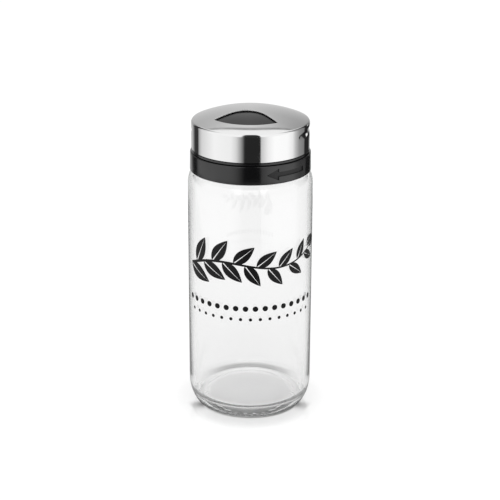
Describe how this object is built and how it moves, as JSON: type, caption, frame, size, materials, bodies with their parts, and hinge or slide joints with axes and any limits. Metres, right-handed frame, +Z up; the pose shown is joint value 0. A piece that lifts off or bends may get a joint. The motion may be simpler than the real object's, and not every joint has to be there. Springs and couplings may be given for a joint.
{
  "type": "spice jar",
  "caption": "Clear glass spice jar with a black screw collar and a domed steel cap that turns to bring its window over a sifter's sprinkling or pouring holes.",
  "frame": {"origin": "middle of the base, on the surface the jar stands on", "axes": "+Z up along the axis of jar and lid; -Y towards the window of the shut cap"},
  "size_m": [0.066, 0.066, 0.1645],
  "materials": {
    "clear_glass": "clear flint glass, fire polished",
    "silicone": "matt milky silicone",
    "black_polypropylene": "moulded black polypropylene, satin gloss",
    "black_abs": "moulded black ABS, high gloss",
    "polished_steel": "drawn stainless steel, polished"
  },
  "bodies": {
    "jar": {"glass_jar": "clear_glass"},
    "seal": {"rim_seal": "silicone"},
    "collar": {"threaded_collar": "black_polypropylene", "sifter_plate": "black_abs"},
    "cap": {"turning_ring": "black_polypropylene", "steel_cap": "polished_steel"}
  },
  "joints": [
    {"name": "lid_rise", "type": "slide", "parent": "jar", "child": "seal", "axis": [0, 0, 1], "range_m": [0, 0.0212]},
    {"name": "lid_unscrew", "type": "hinge", "parent": "seal", "child": "collar", "pos_m": [0, 0, 0.136], "axis": [0, 0, 1], "range_deg": [0, 1800]},
    {"name": "cap_turn", "type": "hinge", "parent": "collar", "child": "cap", "pos_m": [0, 0, 0.15], "axis": [0, 0, -1], "range_deg": [0, 180]}
  ],
  "couplings": [
    {"joint": "lid_rise", "follows": "lid_unscrew", "m_per_rad": 0.00067371}
  ]
}
